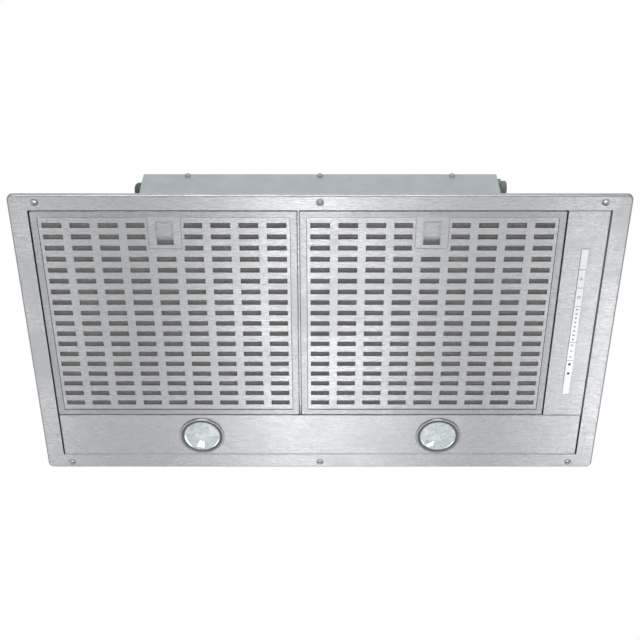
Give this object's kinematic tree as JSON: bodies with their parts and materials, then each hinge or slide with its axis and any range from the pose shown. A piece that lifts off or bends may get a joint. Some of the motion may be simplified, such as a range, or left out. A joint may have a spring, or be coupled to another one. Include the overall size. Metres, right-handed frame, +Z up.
{
  "type": "range hood insert",
  "caption": "Built-in range hood insert: stainless trim frame with drop-down grease filters, lamps, touch strip, double-inlet blower and round outlet with flaps.",
  "frame": {"origin": "centre of the frame's screw pattern, on the visible underside of the trim frame", "axes": "+X along the frame to the control side, +Y from the near edge to the lamp side, +Z up into the cabinet"},
  "size_m": [0.702, 0.402, 0.295],
  "materials": {
    "board": "satin",
    "cable_jacket": "matt",
    "capacitor_can": "drawn",
    "chrome": "bright",
    "dark_plastic": "fine grain",
    "filter_mesh": "expanded, dull",
    "filter_sheet": "brushed along its length",
    "galvanised": "galvanised, spangled",
    "heat_sink": "die cast",
    "impeller_plastic": "moulded",
    "latch_plastic": "silver, satin",
    "lens_glass": "faceted, frosted",
    "light_plastic": "fine grain",
    "machined_steel": "ground",
    "motor_steel": "satin black",
    "stainless": "brushed along its length",
    "strip_glass": "gloss, printed behind"
  },
  "bodies": {
    "housing": {"blanking_plug": "dark_plastic", "box_far_panel": "galvanised", "box_left_panel": "galvanised", "box_near_panel": "galvanised", "box_right_panel": "galvanised", "box_screws": "galvanised", "box_top_panel": "galvanised", "cable_gland": "light_plastic", "capacitor": "capacitor_can", "chamber_far": "galvanised", "chamber_left": "galvanised", "chamber_near": "galvanised", "chamber_right": "galvanised", "control_board": "board", "control_housing": "dark_plastic", "control_panel": "stainless", "exhaust_collar": "dark_plastic", "filter_divider": "stainless", "flap_spindle": "machined_steel", "hinge_rod": "machined_steel", "lamp_left_bezel": "chrome", "lamp_left_lens": "lens_glass", "lamp_left_module": "heat_sink", "lamp_panel": "stainless", "lamp_right_bezel": "chrome", "lamp_right_lens": "lens_glass", "lamp_right_module": "heat_sink", "motor": "motor_steel", "motor_bearings": "machined_steel", "motor_bracket": "galvanised", "outlet_adapter": "galvanised", "power_box": "dark_plastic", "scroll_shell": "galvanised", "scroll_side_left": "galvanised", "scroll_side_right": "galvanised", "touch_strip": "strip_glass", "trim_rail_far": "stainless", "trim_rail_left": "stainless", "trim_rail_near": "stainless", "trim_rail_right": "stainless", "wiring_loom": "cable_jacket"},
    "filter_left": {"filter_left_back": "filter_sheet", "filter_left_dish": "filter_sheet", "filter_left_face": "filter_sheet", "filter_left_mesh": "filter_mesh", "filter_left_rim": "filter_sheet", "latch_left_spring": "machined_steel"},
    "filter_right": {"filter_right_back": "filter_sheet", "filter_right_dish": "filter_sheet", "filter_right_face": "filter_sheet", "filter_right_mesh": "filter_mesh", "filter_right_rim": "filter_sheet", "latch_right_spring": "machined_steel"},
    "latch_left": {"latch_left": "latch_plastic"},
    "latch_right": {"latch_right": "latch_plastic"},
    "impeller": {"impeller_blades": "impeller_plastic", "impeller_rings": "impeller_plastic", "impeller_shaft": "machined_steel"},
    "flap_near": {"flap_near": "dark_plastic"},
    "flap_far": {"flap_far": "dark_plastic"}
  },
  "joints": [
    {"name": "filter_left_hinge", "type": "hinge", "parent": "housing", "child": "filter_left", "pos_m": [-0.1769, 0.1169, 0.0026], "axis": [1, 0, 0], "range_deg": [0, 70]},
    {"name": "filter_right_hinge", "type": "hinge", "parent": "housing", "child": "filter_right", "pos_m": [0.1277, 0.1169, 0.0026], "axis": [1, 0, 0], "range_deg": [0, 70]},
    {"name": "latch_left_slide", "type": "slide", "parent": "filter_left", "child": "latch_left", "axis": [0, 1, 0], "range_m": [0, 0.004], "stiffness_N_per_m": 180, "deforming": ["latch_left_spring"]},
    {"name": "latch_right_slide", "type": "slide", "parent": "filter_right", "child": "latch_right", "axis": [0, 1, 0], "range_m": [0, 0.004], "stiffness_N_per_m": 180, "deforming": ["latch_right_spring"]},
    {"name": "impeller_spin", "type": "hinge", "parent": "housing", "child": "impeller", "pos_m": [0, 0.0068, 0.142], "axis": [1, 0, 0], "continuous": true},
    {"name": "flap_near_hinge", "type": "hinge", "parent": "housing", "child": "flap_near", "pos_m": [0, 0.07919, 0.258], "axis": [-1, 0, 0], "range_deg": [0, 78]},
    {"name": "flap_far_hinge", "type": "hinge", "parent": "housing", "child": "flap_far", "pos_m": [0, 0.07919, 0.258], "axis": [1, 0, 0], "range_deg": [0, 78]}
  ]
}
